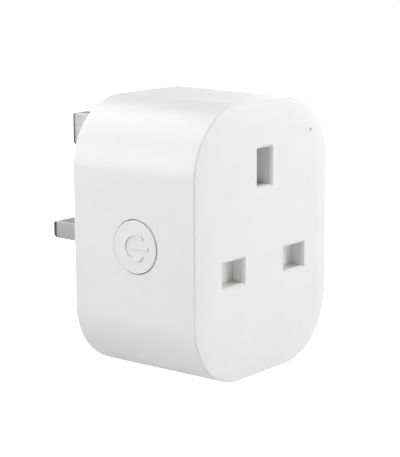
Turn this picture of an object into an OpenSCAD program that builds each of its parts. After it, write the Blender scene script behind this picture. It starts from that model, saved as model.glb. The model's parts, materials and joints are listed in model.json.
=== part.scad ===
// Smart plug for the rectangular three-pin mains system: a plug with a switched,
// shuttered socket in front, a power button on the left and an indicator on the face.
// Origin: centre of the wall face. X runs right as seen from the front, Y runs into
// the wall (the socket face is at -Y) and Z is up.

/* [Body] */
// Width across the wall end
body_w = 50; // [49.5:0.1:51]
// Height of the body
body_h = 62; // [61.5:0.1:64]
// Depth from the wall face to the socket face
body_d = 34.6; // [34.6:0.1:36]
// Radius of the four long corners
corner_r = 15.4; // [15:0.1:15.8]
// How far the left and right sides lean in by the socket face
side_draft = 0.9; // [0.5:0.1:0.9]
// How far the top and bottom lean in by the socket face
top_draft = 0.2; // [0:0.1:0.4]
// Rounding of the edge around the socket face
face_edge_r = 0.6; // [0.5:0.1:1.2]
// Rounding of the edge around the wall face
wall_edge_r = 0.5; // [0.3:0.1:0.7]
// Thickness of the side walls near the wall end
side_wall = 2.3; // [2.1:0.1:2.4]
// Thickness of the front wall
face_wall = 2.2; // [2:0.1:2.4]
// Thickness of the rear cover
cover_t = 2.4; // [2.2:0.1:2.6]

/* [Pins] */
// Height of the line and neutral pins above the body's middle
pin_z = -2; // [-2.4:0.1:-1.6]
// Length of the insulating sleeves outside the body
sleeve_l = 9; // [8:0.1:9.5]
// Thickness of the insulating sleeves
sleeve_t = 0.5; // [0.4:0.05:0.6]

/* [Socket] */
// Height of the line and neutral apertures above the body's middle
socket_z = -6; // [-6.2:0.1:-5.8]
// Width of the chamfer around each aperture
aperture_chamfer = 0.55; // [0.5:0.05:0.8]
// Depth of the shutter behind the socket face
shutter_depth = 3.25; // [3.2:0.05:3.4]
// Thickness of the shutter plate
shutter_t = 1.8; // [1.6:0.1:1.8]
// Distance the shutter drops when an earth pin goes in
shutter_travel = 5.8; // [5.7:0.1:5.9]

/* [Power button] */
// Radius of the button
button_r = 5.9; // [5.7:0.05:6.1]
// Gap around the button
button_gap = 0.2; // [0.15:0.05:0.3]
// Distance of the button's centre from the wall face
button_depth = 18.05; // [17.8:0.05:18.6]
// Height of the button above the side of the body
button_rise = 0.2; // [0:0.05:0.3]
// Height of the raised power symbol
symbol_height = 0.25; // [0.2:0.05:0.3]

/* [Indicator] */
// Distance of the indicator right of the middle
led_x = 17.2; // [16.8:0.1:17.4]
// Distance of the indicator above the middle
led_z = 22.7; // [22.4:0.1:22.9]
// Radius of the indicator hole
led_hole_r = 0.35; // [0.3:0.05:0.5]

/* [Hidden] */
$fn = 64;

// Standard plug and socket geometry
pin_spread = 11.1;                  // line and neutral pins each side of the middle
earth_rise = 22.2;                  // earth pin above the line and neutral pins
live_pin = [6.35, 3.97, 17.7];      // width, height, length
earth_size = [3.97, 7.92, 22.7];
live_aperture = [7.3, 5.5];
earth_aperture = [4.9, 8.4];
pin_bevel = [0.6, 1.2];             // bevel at the pin tips: across, along
earth_pin_z = pin_z + earth_rise;
earth_socket_z = socket_z + earth_rise;

// Planes along the depth, from the socket face back to the wall face
face_y = -body_d;
face_inner_y = face_y + face_wall;
shutter_y = face_y + shutter_depth;
slide_gap = 0.2;
carrier_y = shutter_y + shutter_t + slide_gap;
carrier_t = 1.4;
carrier_back_y = carrier_y + carrier_t;
live_contact_back_y = face_y + live_pin[2] + 0.9;
earth_contact_back_y = face_y + earth_size[2] + 0.9;
board_front_y = -6.2;
board_t = 1.6;
board_back_y = board_front_y + board_t;
cover_inner_y = -cover_t;

// Inside of the housing
cavity_w = body_w - 2 * side_wall;
cavity_h = body_h - 4.2;
cavity_r = corner_r - 2.2;
cover_gap = 0.1;
inner_x = cavity_w / 2;

// Screws that hold the rear cover: x, z
cover_screw_places = [[-19.2, 11], [19.2, 11], [-16.3, -22.5], [16.3, -22.5]];
screw_r = 1.1;
screw_head_r = 2.2;
screw_head_t = 1.2;
screw_l = 9;
boss_r = 2.6;
boss_shoulder_r = 3.4;

// Screws that hold the socket carrier: x, z
carrier_screw_places = [[-9, 4.5], [9, 4.5]];
small_screw_r = 0.9;

// Socket contacts
leaf_t = 0.6;
contact_w = 6;
strap_t = 0.8;
strap_w = 4;

// Shutter and its spring
bar_half_w = 15.6;
bar_top = socket_z + 3;
bar_bottom = socket_z - 3.2;
stem_half_w = 2.6;
ramp_half_w = 1.7;
ramp_back_y = shutter_y + 6.6;
ramp_top = earth_socket_z - earth_size[1] / 2 - 0.3 + shutter_travel;
spring_y = carrier_y;
spring_top = bar_bottom - 0.05;
spring_bottom = spring_top - 11.3;
spring_r = 1.45;
spring_wire_r = 0.2;
spring_turns = 7;

// Button and its switch
button_y = -button_depth;
switch_board_x = -17.9;
switch_t = 3;
plunger_r = 1.2;
plunger_out = 0.8;
flange_r = 7;
flange_t = 0.6;
flange_x = -inner_x + 0.2;

// Relay: centre line of the coil and the main planes
relay_half_w = 10.25;
relay_z = -22.05;
relay_half_h = 5.15;
relay_front_y = -22.6;
relay_base_y = -7.6;
relay_wall = 0.7;
coil_x = -5.4;
pole_y = -20;
yoke_x = -0.9;
yoke_t = 1.2;
armature_y = -20.6;
armature_t = 0.9;
relay_legs = [[-8.5, -19.5], [-8.5, -24.6], [2, -22.05], [4.4, -22.05]];

// Legs of the header and the fuse resistor through the main board
header_x = 17.05;
header_pins = [-8 : 2 : 2];
fuse_legs = [6.4, 14];
fuse_z = 21.4;

// Solid between two corners
module block(low, high) {
    translate(low) cube(high - low);
}

// Extrudes a shape drawn in X and Z along the depth
module between_y(y0, y1) {
    translate([0, y1, 0]) rotate([90, 0, 0]) linear_extrude(y1 - y0) children();
}

// Extrudes a shape drawn in Y and Z across the width
module between_x(x0, x1) {
    translate([x0, 0, 0]) rotate([90, 0, 90]) linear_extrude(x1 - x0) children();
}

// Extrudes a shape drawn in X and Y up the height
module between_z(z0, z1) {
    translate([0, 0, z0]) linear_extrude(z1 - z0) children();
}

// Round post along the depth
module post(x, z, y0, y1, r) {
    translate([x, y1, z]) rotate([90, 0, 0]) cylinder(h = y1 - y0, r = r);
}

// Round rod across the width
module rod(x0, x1, y, z, r) {
    translate([x0, y, z]) rotate([0, 90, 0]) cylinder(h = x1 - x0, r = r);
}

// Rounded rectangle with true arcs at its corners
module rounded_outline(w, h, r) {
    square([w - 2 * r, h], center = true);
    square([w, h - 2 * r], center = true);
    for (x = [-1, 1], z = [-1, 1])
        translate([x * (w / 2 - r), z * (h / 2 - r)]) circle(r);
}

// Outside form of the body: sides that lean in, with a rounded edge at both ends
module body_form() {
    slice_t = 0.01;
    edges = concat(
        [[0, wall_edge_r], [-wall_edge_r, 0]],
        [for (a = [0, 45, 90]) [
            face_y + face_edge_r * (1 - sin(a)),
            face_edge_r * (1 - cos(a))
        ]]
    );
    hull() for (edge = edges) {
        run = -edge[0] / body_d;
        y = max(edge[0], face_y + slice_t);
        between_y(y - slice_t, y)
            rounded_outline(
                body_w - 2 * (side_draft * run + edge[1]),
                body_h - 2 * (top_draft * run + edge[1]),
                corner_r - edge[1]);
    }
}

// Straight-sided block whose end at y1 is cut back by a bevel on all four sides
module bevelled_block(w, h, y0, y1, across, along) {
    y_bevel = y1 - sign(y1 - y0) * along;
    intersection() {
        between_z(-h, h)
            polygon([
                [-w / 2, y0], [w / 2, y0], [w / 2, y_bevel],
                [w / 2 - across, y1], [-w / 2 + across, y1], [-w / 2, y_bevel]
            ]);
        between_x(-w, w)
            polygon([
                [y0, -h / 2], [y0, h / 2], [y_bevel, h / 2],
                [y1, h / 2 - across], [y1, -h / 2 + across], [y_bevel, -h / 2]
            ]);
    }
}

// Aperture with a chamfered mouth at the socket face
module aperture(size, y1) {
    c = aperture_chamfer;
    block([-size[0] / 2, face_y - 1, -size[1] / 2], [size[0] / 2, y1, size[1] / 2]);
    bevelled_block(size[0] + 2 * c, size[1] + 2 * c, face_y - 1, face_y + c, c, c);
}

// Puts its children at the three socket positions' live or earth places
module at_live_sockets() {
    for (x = [-1, 1]) translate([x * pin_spread, 0, socket_z]) children();
}

module at_earth_socket() {
    translate([0, 0, earth_socket_z]) children();
}

// Collar that carries an aperture back to y1
module aperture_collar(size, y1) {
    wall = 1.2;
    block(
        [-size[0] / 2 - wall, face_inner_y - 0.1, -size[1] / 2 - wall],
        [size[0] / 2 + wall, y1, size[1] / 2 + wall]
    );
}

// Space for the shutter's ramp in the lower half of the earth collar
module ramp_space() {
    half_w = earth_aperture[0] / 2;
    block([-half_w, shutter_y - slide_gap, -earth_aperture[1]], [half_w, carrier_y, 0]);
}

module front_housing() {
    color("white") difference() {
        union() {
            difference() {
                body_form();
                between_y(face_inner_y, 1) rounded_outline(cavity_w, cavity_h, cavity_r);
            }
            for (p = cover_screw_places) {
                post(p[0], p[1], face_inner_y - 0.1, board_front_y, boss_shoulder_r);
                post(p[0], p[1], board_front_y - 0.1, cover_inner_y, boss_r);
            }
            for (p = carrier_screw_places)
                post(p[0], p[1], face_inner_y - 0.1, carrier_y, 2.2);
            at_live_sockets() aperture_collar(live_aperture, shutter_y - slide_gap);
            at_earth_socket() aperture_collar(earth_aperture, carrier_y - slide_gap);
            rod(-inner_x - 0.1, -inner_x + 2, button_y, 0, flange_r + 1.3);
            post(led_x, led_z, face_inner_y - 0.1, face_inner_y + 2.5, 2.2);
        }
        at_live_sockets() aperture(live_aperture, shutter_y);
        at_earth_socket() aperture(earth_aperture, carrier_y);
        at_earth_socket() ramp_space();
        rod(-body_w / 2 - 1, -inner_x + 1, button_y, 0, button_r + button_gap);
        rod(-inner_x, -inner_x + 3, button_y, 0, flange_r + 0.3);
        for (p = cover_screw_places) post(p[0], p[1], cover_inner_y - 12, 1, screw_r);
        for (p = carrier_screw_places) post(p[0], p[1], face_inner_y, carrier_y + 1, small_screw_r);
        post(led_x, led_z, face_y - 1, face_y + 1.1, led_hole_r);
        post(led_x, led_z, face_y + 1, face_inner_y + 3, 1.2);
    }
}

module rear_cover() {
    color("whitesmoke") difference() {
        between_y(cover_inner_y, 0)
            rounded_outline(
                cavity_w - 2 * cover_gap, cavity_h - 2 * cover_gap, cavity_r - cover_gap);
        for (x = [-1, 1])
            translate([x * pin_spread, 0, pin_z])
                block(
                    [-live_pin[0] / 2, -cover_t - 1, -live_pin[1] / 2],
                    [live_pin[0] / 2, 1, live_pin[1] / 2]
                );
        translate([0, 0, earth_pin_z])
            block(
                [-earth_size[0] / 2, -cover_t - 1, -earth_size[1] / 2],
                [earth_size[0] / 2, 1, earth_size[1] / 2]
            );
        for (p = cover_screw_places) {
            post(p[0], p[1], -cover_t - 1, 1, screw_r + 0.15);
            post(p[0], p[1], -screw_head_t, 1, screw_head_r + 0.2);
        }
    }
}

// Self-tapping screw with a flat head and a cross recess, driven towards -Y
module screw(x, z, head_y, head_r, head_t, shank_r, shank_l) {
    slot = head_r * 0.3;
    difference() {
        union() {
            post(x, z, head_y - head_t, head_y, head_r);
            post(x, z, head_y - head_t - shank_l, head_y - head_t + 0.1, shank_r);
        }
        for (turn = [0, 90])
            translate([x, head_y, z]) rotate([0, turn, 0])
                block([-head_r * 0.6, -head_t * 0.6, -slot / 2], [head_r * 0.6, 1, slot / 2]);
    }
}

module cover_screws() {
    color("dimgray") for (p = cover_screw_places)
        screw(p[0], p[1], -0.1, screw_head_r, screw_head_t - 0.1, screw_r, screw_l);
}

module carrier_screws() {
    color("silver") for (p = carrier_screw_places)
        screw(p[0], p[1], carrier_back_y + 1.2, 1.8, 1.2, small_screw_r, 3.9);
}

// Power symbol, raised along -X: an arc open towards the socket face and a bar
// through the opening
module power_symbol() {
    arc_r = 2.85;
    stroke = 0.6;
    gap_angle = 44;
    bar_front = 3.8;
    bar_rear = 0.8;
    root = 0.8;
    rotate([0, -90, 0]) translate([0, 0, -root]) {
        rotate([0, 0, -90 + gap_angle])
            rotate_extrude(angle = 360 - 2 * gap_angle)
                translate([arc_r - stroke / 2, 0]) square([stroke, root + symbol_height]);
        for (tip = [gap_angle, -gap_angle])
            rotate([0, 0, -90 + tip]) translate([arc_r, 0, 0])
                cylinder(h = root + symbol_height, r = stroke / 2);
        block([-stroke / 2, -bar_front, 0], [stroke / 2, bar_rear, root + symbol_height]);
    }
}

// The button's outer face follows the leaning side of the body
module power_button() {
    symbol_x = -body_w / 2 + side_draft * button_depth / body_d - button_rise;
    color("white") union() {
        intersection() {
            translate([-button_rise, 0, 0]) body_form();
            rod(-body_w / 2 - 1, flange_x + 0.1, button_y, 0, button_r);
        }
        rod(flange_x, flange_x + flange_t, button_y, 0, flange_r);
        translate([symbol_x, button_y, 0]) rotate([0, 0, atan(side_draft / body_d)])
            power_symbol();
    }
}

module light_pipe() {
    color("aliceblue") {
        post(led_x, led_z, face_y + 0.2, face_y + 1.2, led_hole_r - 0.03);
        post(led_x, led_z, face_y + 1.2, board_front_y - 1.8, 1.15);
    }
}

// Plug pin: blade outside, flange behind the cover and a tail towards the board
module pin(size, neck_inset, flange, tail, tail_y) {
    neck_y = sleeve_l;
    bevelled_block(size[0], size[1], neck_inset > 0 ? neck_y : 0, size[2], pin_bevel[0], pin_bevel[1]);
    block(
        [-size[0] / 2 + neck_inset, cover_inner_y, -size[1] / 2 + neck_inset],
        [size[0] / 2 - neck_inset, neck_inset > 0 ? neck_y : 0, size[1] / 2 - neck_inset]
    );
    block(
        [-flange[0] / 2, cover_inner_y - 1.2, -flange[1] / 2],
        [flange[0] / 2, cover_inner_y, flange[1] / 2]
    );
    block(
        [-tail[0] / 2, tail_y, -tail[1] / 2],
        [tail[0] / 2, cover_inner_y - 1.2, tail[1] / 2]
    );
}

module live_pin_at(x) {
    translate([x, 0, pin_z]) pin(live_pin, sleeve_t, [8.4, 6], [3, 1.2], -9);
}

module line_pin() {
    color("silver") live_pin_at(pin_spread);
}

module neutral_pin() {
    color("silver") live_pin_at(-pin_spread);
}

module earth_pin() {
    color("silver") translate([0, 0, earth_pin_z]) {
        pin(earth_size, 0, [6, 9.6], [3, 3], earth_contact_back_y + strap_t);
        post(0, 0, earth_contact_back_y, earth_contact_back_y + strap_t, 1.2);
    }
}

module pin_sleeve(x) {
    inner = [live_pin[0] - 2 * sleeve_t, live_pin[1] - 2 * sleeve_t];
    color("darkgray") translate([x, 0, pin_z]) difference() {
        block(
            [-live_pin[0] / 2, cover_inner_y, -live_pin[1] / 2],
            [live_pin[0] / 2, sleeve_l, live_pin[1] / 2]
        );
        block(
            [-inner[0] / 2, cover_inner_y - 1, -inner[1] / 2],
            [inner[0] / 2, sleeve_l + 1, inner[1] / 2]
        );
    }
}

module line_pin_sleeve() {
    pin_sleeve(pin_spread);
}

module neutral_pin_sleeve() {
    pin_sleeve(-pin_spread);
}

// Rectangular tube along the depth, centred on the place it is drawn at
module pocket(half_w, half_h, wall, y0, y1) {
    difference() {
        block([-half_w - wall, y0, -half_h - wall], [half_w + wall, y1, half_h + wall]);
        block([-half_w, y0 - 2, -half_h], [half_w, y1 + 1, half_h]);
    }
}

// Hole through the carrier plate behind an aperture
module window(size) {
    block([-size[0] / 2, carrier_y - 1, -size[1] / 2], [size[0] / 2, carrier_back_y + 0.1, size[1] / 2]);
}

module socket_carrier() {
    pocket_wall = 1;
    rail_y = shutter_y + slide_gap;
    seat_bottom = spring_bottom - 1.4;
    color("gainsboro") difference() {
        union() {
            between_y(carrier_y, carrier_back_y) {
                translate([-17, socket_z - 10]) square([34, 16.5]);
                translate([-12, socket_z]) square([24, 15]);
                translate([-7, 0]) square([14, 24.5]);
                translate([-5, seat_bottom]) square([10, 12]);
            }
            at_live_sockets()
                pocket(3.4, 3.6, pocket_wall, carrier_back_y - 0.1, live_contact_back_y - 0.2);
            at_earth_socket()
                pocket(3.2, 4.4, pocket_wall, carrier_back_y - 0.1, earth_contact_back_y - 0.4);
            for (x = [-1, 1]) {
                translate([x * (bar_half_w + 0.85), 0, 0])
                    block([-0.55, rail_y, socket_z - 10], [0.55, carrier_y + 0.1, socket_z + 4]);
                translate([x * (stem_half_w + 0.8), 0, 0])
                    block([-0.5, rail_y, -1], [0.5, carrier_y + 0.1, 7]);
            }
            block([-4, rail_y, seat_bottom], [4, carrier_back_y + 1.2, spring_bottom]);
        }
        at_live_sockets() window(live_aperture);
        at_earth_socket() window(earth_aperture);
        block([-2.1, carrier_y - 1, 1.8], [2.1, ramp_back_y + 0.2, ramp_top + 0.6]);
        block([-2.2, carrier_y - 1, spring_bottom], [2.2, carrier_back_y + 1, bar_bottom + 2]);
        for (p = carrier_screw_places)
            post(p[0], p[1], carrier_y - 1, carrier_back_y + 1, small_screw_r + 0.15);
    }
}

module shutter() {
    ramp_foot = earth_socket_z - earth_size[1] / 2 - 0.3;
    color("whitesmoke") {
        block([-bar_half_w, shutter_y, bar_bottom], [bar_half_w, shutter_y + shutter_t, bar_top]);
        block([-stem_half_w, shutter_y, bar_top - 0.1], [stem_half_w, shutter_y + shutter_t, 9]);
        block([-ramp_half_w, shutter_y, 8.9], [ramp_half_w, shutter_y + shutter_t, 10]);
        between_x(-ramp_half_w, ramp_half_w)
            polygon([
                [shutter_y, 9.9], [shutter_y, ramp_foot], [ramp_back_y - 0.8, ramp_top],
                [ramp_back_y, ramp_top], [ramp_back_y, ramp_top - 3.5],
                [shutter_y + shutter_t, 8.4], [shutter_y + shutter_t, 9.9]
            ]);
        block([-1.9, shutter_y + shutter_t - 0.1, bar_bottom], [1.9, spring_y + 1.6, bar_bottom + 1.4]);
        translate([0, spring_y, bar_bottom - 1.5]) cylinder(h = 1.6, r = 0.9);
    }
}

// Point and directions along a helix, as centre, outward and binormal
function helix_frame(t) =
    let (
        turn = 360 * spring_turns * t,
        pitch = (spring_top - spring_bottom - 2 * spring_wire_r) / spring_turns,
        rise = pitch / (2 * PI * spring_r),
        outward = [cos(turn), sin(turn), 0],
        along = [-sin(turn), cos(turn), rise] / sqrt(1 + rise * rise)
    ) [
        spring_r * outward + [0, 0, spring_wire_r + pitch * spring_turns * t],
        outward,
        cross(along, outward)
    ];

module shutter_spring() {
    sides = 8;
    rings = 12 * spring_turns;
    points = [for (i = [0 : rings], s = [0 : sides - 1])
        let (f = helix_frame(i / rings), a = 360 * s / sides)
            f[0] + spring_wire_r * (cos(a) * f[1] + sin(a) * f[2])];
    walls = [for (i = [0 : rings - 1], s = [0 : sides - 1])
        let (n = (s + 1) % sides)
            [i * sides + s, (i + 1) * sides + s, (i + 1) * sides + n, i * sides + n]];
    first = [for (s = [0 : sides - 1]) s];
    last = [for (s = [sides - 1 : -1 : 0]) rings * sides + s];
    color("silver") translate([0, spring_y, spring_bottom])
        polyhedron(points, concat([first], walls, [last]));
}

// Spring contact drawn in Y and one cross direction: two leaves that pinch the pin
module contact_outline(back_y, front_y) {
    t = leaf_t;
    wide = 2.7;
    pinch = 1.75;
    flare = 2.6;
    pinch_y = front_y + 2.6;
    polygon([
        [back_y, -wide], [back_y, wide], [pinch_y, pinch + t], [front_y, flare + t],
        [front_y, flare], [pinch_y, pinch], [back_y - t, wide - t],
        [back_y - t, -wide + t], [pinch_y, -pinch], [front_y, -flare],
        [front_y, -flare - t], [pinch_y, -pinch - t]
    ]);
}

module live_contact(x) {
    color("peru") translate([x, 0, socket_z])
        between_x(-contact_w / 2, contact_w / 2)
            contact_outline(live_contact_back_y, carrier_back_y + 0.3);
}

module line_contact() {
    live_contact(pin_spread);
}

module neutral_contact() {
    live_contact(-pin_spread);
}

module earth_contact() {
    color("peru") translate([0, 0, earth_socket_z]) rotate([0, 90, 0])
        between_x(-3.6, 3.6)
            contact_outline(earth_contact_back_y, ramp_back_y + 0.5);
}

module line_busbar() {
    y = live_contact_back_y;
    x0 = pin_spread - strap_w / 2;
    x1 = pin_spread + strap_w / 2;
    leg_z = socket_z - 6.8;
    color("peru") {
        block([x0, y, leg_z], [x1, y + strap_t, socket_z + 2]);
        block([x0, y, leg_z], [x1, board_front_y - 1, leg_z + strap_t]);
        block([x0 + 0.5, board_front_y - 1, leg_z], [x1 - 0.5, board_back_y + 0.6, leg_z + strap_t]);
    }
}

module neutral_busbar() {
    y = live_contact_back_y;
    x0 = -pin_spread - strap_w / 2;
    x1 = -pin_spread + strap_w / 2;
    leg_z = pin_z + 0.6;
    color("peru") {
        block([x0, y, socket_z - 2], [x1, y + strap_t, leg_z + strap_t]);
        block([x0, y, leg_z], [x1, -7.4, leg_z + strap_t]);
    }
}

module earth_strap() {
    color("peru") difference() {
        block(
            [-3.5, earth_contact_back_y, earth_socket_z - 3.5],
            [3.5, earth_contact_back_y + strap_t, earth_pin_z + 2.5]
        );
        post(0, earth_pin_z, earth_contact_back_y - 1, earth_contact_back_y + 2, 1.2);
    }
}

module main_board() {
    color("darkgreen") difference() {
        between_y(board_front_y, board_back_y)
            difference() {
                rounded_outline(cavity_w - 0.8, cavity_h - 0.8, cavity_r - 0.4);
                translate([-5.5, 12.5]) square([11, 20]);
                for (p = cover_screw_places) translate(p) circle(boss_r + 0.3);
                for (x = [-1, 1]) translate([x * pin_spread - 1.8, pin_z - 0.9]) square([3.6, 1.8]);
                translate([pin_spread - 1.8, socket_z - 7.1]) square([3.6, 1.4]);
                for (leg = relay_legs) translate(leg) circle(0.6);
                for (z = header_pins) translate([header_x, z]) square(0.9, center = true);
                for (x = fuse_legs) translate([x, fuse_z]) square([0.8, 0.9], center = true);
            }
    }
}

module button_board() {
    color("darkgreen")
        block([switch_board_x, -26, -6.8], [switch_board_x + 1, board_front_y, 6.8]);
}

module wireless_board() {
    color("darkgreen") block([17.9, -27, -12], [18.9, board_front_y, 6]);
}

module pin_header() {
    color("dimgray") {
        block([16.2, board_front_y - 2.5, -10], [17.9, board_front_y, 4]);
        for (z = header_pins)
            block([header_x - 0.25, board_front_y - 0.1, z - 0.25], [header_x + 0.25, board_back_y + 0.6, z + 0.25]);
    }
}

module shield_can() {
    color("silver") difference() {
        block([18.9, -20.5, -10.5], [21.3, -8, 4.5]);
        block([18.8, -20.3, -10.3], [21.1, -8.2, 4.3]);
    }
}

module tact_switch_body() {
    color("dimgray") difference() {
        block(
            [switch_board_x - switch_t, button_y - 3, -3],
            [switch_board_x, button_y + 3, 3]
        );
        rod(switch_board_x - switch_t - 1, switch_board_x - 0.8, button_y, 0, plunger_r + 0.1);
    }
}

module tact_switch_plunger() {
    color("black")
        rod(switch_board_x - switch_t - plunger_out, switch_board_x - 1.6, button_y, 0, plunger_r);
}

module status_led() {
    color("lightgreen")
        block([led_x - 1, board_front_y - 1.2, led_z - 0.8], [led_x + 1, board_front_y, led_z + 0.8]);
}

module relay_base() {
    color("dimgray") {
        block(
            [-relay_half_w + relay_wall + 0.05, relay_base_y, relay_z - relay_half_h + relay_wall + 0.05],
            [relay_half_w - relay_wall - 0.05, board_front_y, relay_z + relay_half_h - relay_wall - 0.05]
        );
        for (leg = relay_legs) post(leg[0], leg[1], board_front_y - 0.1, board_back_y + 0.8, 0.45);
    }
}

module relay_case() {
    color("royalblue") difference() {
        block(
            [-relay_half_w, relay_front_y, relay_z - relay_half_h],
            [relay_half_w, board_front_y - 0.3, relay_z + relay_half_h]
        );
        block(
            [-relay_half_w + relay_wall, relay_front_y + relay_wall, relay_z - relay_half_h + relay_wall],
            [relay_half_w - relay_wall, board_front_y, relay_z + relay_half_h - relay_wall]
        );
    }
}

module relay_bobbin() {
    color("white") difference() {
        union() {
            post(coil_x, relay_z, pole_y + 0.6, pole_y + 1.2, 3.9);
            post(coil_x, relay_z, pole_y + 0.6, relay_base_y - 1.3, 2.1);
            post(coil_x, relay_z, relay_base_y - 1.9, relay_base_y - 1.3, 3.9);
        }
        post(coil_x, relay_z, pole_y - 1, relay_base_y, 1.5);
    }
}

module relay_winding() {
    color("chocolate") difference() {
        post(coil_x, relay_z, pole_y + 1.2, relay_base_y - 1.9, 3.6);
        post(coil_x, relay_z, pole_y, relay_base_y, 2.1);
    }
}

module relay_core() {
    color("silver") {
        post(coil_x, relay_z, pole_y, pole_y + 0.6, 3);
        post(coil_x, relay_z, pole_y + 0.5, relay_base_y - 1.2, 1.5);
    }
}

module relay_yoke() {
    color("silver") difference() {
        between_z(relay_z - 3.4, relay_z + 3.4)
            polygon([
                [-9.3, relay_base_y - 1.2], [yoke_x, relay_base_y - 1.2], [yoke_x, armature_y + 0.15],
                [yoke_x + yoke_t, armature_y + 0.15], [yoke_x + yoke_t, relay_base_y],
                [-9.3, relay_base_y]
            ]);
        post(coil_x, relay_z, relay_base_y - 2, relay_base_y + 1, 1.5);
    }
}

module relay_armature() {
    color("silver")
        block([-9, armature_y - armature_t, relay_z - 3.2], [1.5, armature_y, relay_z + 3.2]);
}

// Leaf that hangs from the armature and carries the moving contact
module relay_contact_arm() {
    arm_x = 1.5;
    color("peru") {
        block([arm_x, armature_y - armature_t, relay_z - 2], [arm_x + 0.4, -10.4, relay_z + 2]);
        rod(arm_x + 0.4, arm_x + 0.9, -11.6, relay_z, 1.1);
    }
}

module relay_fixed_contact() {
    plate_x = 3.6;
    color("peru") {
        block([plate_x, -13.2, relay_z - 2], [plate_x + 0.6, relay_base_y, relay_z + 2]);
        rod(plate_x - 0.5, plate_x, -11.6, relay_z, 1.1);
    }
}

module filter_capacitor() {
    color("gold") block([-19.3, -18.2, 16.6], [-6.4, board_front_y, 22.4]);
}

// Radial capacitor standing on the board, with a crimped groove near its seal
module radial_capacitor(x, z, r, h) {
    groove_y = board_front_y - 1.6;
    difference() {
        post(x, z, board_front_y - h, board_front_y, r);
        difference() {
            post(x, z, groove_y - 0.3, groove_y + 0.3, r + 1);
            post(x, z, groove_y - 1, groove_y + 1, r - 0.3);
        }
    }
}

module bulk_capacitors() {
    color("midnightblue") for (z = [-8.6, 0.6]) radial_capacitor(0, z, 4, 12);
}

module varistor() {
    color("steelblue") translate([-11.4, board_front_y - 4.4, 11.6])
        translate([0, 0, -1.8]) cylinder(h = 3.6, r = 3.5);
}

module choke() {
    x = 11;
    z = 12;
    color("black") {
        post(x, z, -8, board_front_y, 4);
        post(x, z, -13.2, -8, 3);
        post(x, z, -15, -13.2, 4);
    }
}

module fuse_resistor() {
    color("cadetblue") {
        rod(fuse_legs[0], fuse_legs[1], board_front_y - 1.8, fuse_z, 1.5);
        for (x = fuse_legs)
            block([x - 0.2, board_front_y - 2.2, fuse_z - 0.3], [x + 0.2, board_back_y + 0.5, fuse_z + 0.3]);
    }
}

// Surface-mounted chip on the board with a row of legs above and below
module chip(x, z, w, h, t, legs) {
    block([x - w / 2, board_front_y - t, z - h / 2], [x + w / 2, board_front_y - 0.1, z + h / 2]);
    for (i = [0 : legs - 1], side = [-1, 1])
        translate([x + (i - (legs - 1) / 2) * w / legs, 0, z + side * (h / 2 + 0.35)])
            block([-0.25, board_front_y - 0.6, -0.4], [0.25, board_front_y, 0.4]);
}

module bridge_rectifier() {
    color("black") chip(11, 4.2, 4.8, 3.8, 1.8, 2);
}

module regulator_chip() {
    color("black") chip(-11, 5, 5, 3.8, 1.6, 4);
}

module shunt_resistor() {
    color("silver") block([8, board_front_y - 0.8, -9.6], [14.2, board_front_y, -6.6]);
}

front_housing();
rear_cover();
cover_screws();
power_button();
light_pipe();
earth_pin();
line_pin();
neutral_pin();
line_pin_sleeve();
neutral_pin_sleeve();
socket_carrier();
carrier_screws();
shutter();
shutter_spring();
line_contact();
neutral_contact();
earth_contact();
line_busbar();
neutral_busbar();
earth_strap();
main_board();
button_board();
wireless_board();
pin_header();
shield_can();
tact_switch_body();
tact_switch_plunger();
status_led();
relay_base();
relay_case();
relay_bobbin();
relay_winding();
relay_core();
relay_yoke();
relay_armature();
relay_contact_arm();
relay_fixed_contact();
filter_capacitor();
bulk_capacitors();
varistor();
choke();
fuse_resistor();
bridge_rectifier();
regulator_chip();
shunt_resistor();
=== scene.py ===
"""Looks of the smart plug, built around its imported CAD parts. Shapes are in millimetres
until place() scales them. X runs right seen from the front, Y into the wall, Z up."""
import json
import math

import bmesh
import bpy
from mathutils import Matrix, Vector


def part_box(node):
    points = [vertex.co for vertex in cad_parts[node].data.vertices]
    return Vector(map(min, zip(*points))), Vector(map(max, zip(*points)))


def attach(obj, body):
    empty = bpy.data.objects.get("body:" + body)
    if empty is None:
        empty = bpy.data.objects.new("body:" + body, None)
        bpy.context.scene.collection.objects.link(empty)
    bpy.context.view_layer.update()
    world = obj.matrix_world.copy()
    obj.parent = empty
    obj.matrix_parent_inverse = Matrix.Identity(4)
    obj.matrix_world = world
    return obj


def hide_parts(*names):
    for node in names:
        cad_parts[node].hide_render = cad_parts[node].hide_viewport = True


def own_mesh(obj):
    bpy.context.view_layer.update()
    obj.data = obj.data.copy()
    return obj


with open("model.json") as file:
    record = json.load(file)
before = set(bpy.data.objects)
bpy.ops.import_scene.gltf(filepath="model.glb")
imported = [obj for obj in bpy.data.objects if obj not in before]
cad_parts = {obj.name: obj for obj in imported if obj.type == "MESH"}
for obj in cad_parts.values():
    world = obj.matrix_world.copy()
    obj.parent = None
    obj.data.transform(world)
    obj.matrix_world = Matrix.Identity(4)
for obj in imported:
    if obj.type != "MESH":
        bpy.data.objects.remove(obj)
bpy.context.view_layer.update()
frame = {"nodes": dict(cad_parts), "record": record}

MM = 0.001
CORNER_STEPS = 28
HOLE_SIDES = 40


def in_mm(box):
    """A box's lowest and highest corners, from metres to millimetres."""
    return [corner / MM for corner in box]


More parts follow.
